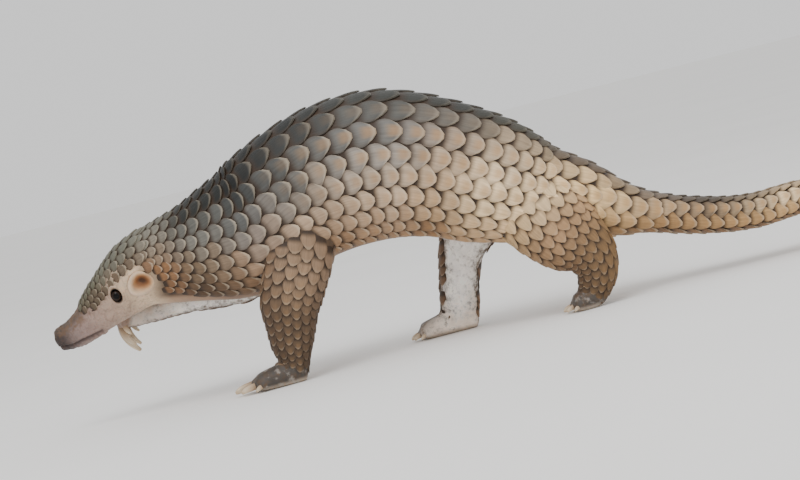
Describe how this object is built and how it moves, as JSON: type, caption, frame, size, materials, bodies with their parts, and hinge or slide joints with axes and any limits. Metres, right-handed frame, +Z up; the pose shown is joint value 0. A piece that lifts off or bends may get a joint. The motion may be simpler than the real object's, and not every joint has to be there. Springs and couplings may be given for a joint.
{
  "type": "pangolin model",
  "caption": "Life-size still model of a walking pangolin with overlapping scales, lowered head, one forefoot raised and a long flattened tail that reaches the floor.",
  "frame": {"origin": "point on the floor under the middle of the bounding box", "axes": "+X from the nose to the tail, +Y to the animal's right side, +Z up; soles and tail rest on z = 0"},
  "size_m": [0.8724, 0.1472, 0.2113],
  "materials": {
    "scaled_hide": "matt horn scales over pale skin, grey on the back, tan and brown on the flanks",
    "ear_skin": "soft bare skin",
    "eye": "wet and dark",
    "claw_horn": "pale worn horn"
  },
  "bodies": {
    "root": {"head": "scaled_hide", "neck": "scaled_hide", "shoulders": "scaled_hide", "torso": "scaled_hide", "hips": "scaled_hide", "tail_base": "scaled_hide", "tail_fore": "scaled_hide", "tail_middle": "scaled_hide", "tail_tip": "scaled_hide", "foreleg_left": "scaled_hide", "foreleg_right": "scaled_hide", "hindleg_left": "scaled_hide", "hindleg_right": "scaled_hide", "ear_left": "ear_skin", "ear_right": "ear_skin", "eye_left": "eye", "eye_right": "eye", "claw_fore_left_1": "claw_horn", "claw_fore_left_2": "claw_horn", "claw_fore_left_3": "claw_horn", "claw_fore_left_4": "claw_horn", "claw_fore_left_5": "claw_horn", "claw_fore_right_1": "claw_horn", "claw_fore_right_2": "claw_horn", "claw_fore_right_3": "claw_horn", "claw_fore_right_4": "claw_horn", "claw_fore_right_5": "claw_horn", "claw_hind_left_1": "claw_horn", "claw_hind_left_2": "claw_horn", "claw_hind_left_3": "claw_horn", "claw_hind_left_4": "claw_horn", "claw_hind_left_5": "claw_horn", "claw_hind_right_1": "claw_horn", "claw_hind_right_2": "claw_horn", "claw_hind_right_3": "claw_horn", "claw_hind_right_4": "claw_horn", "claw_hind_right_5": "claw_horn"}
  },
  "joints": []
}
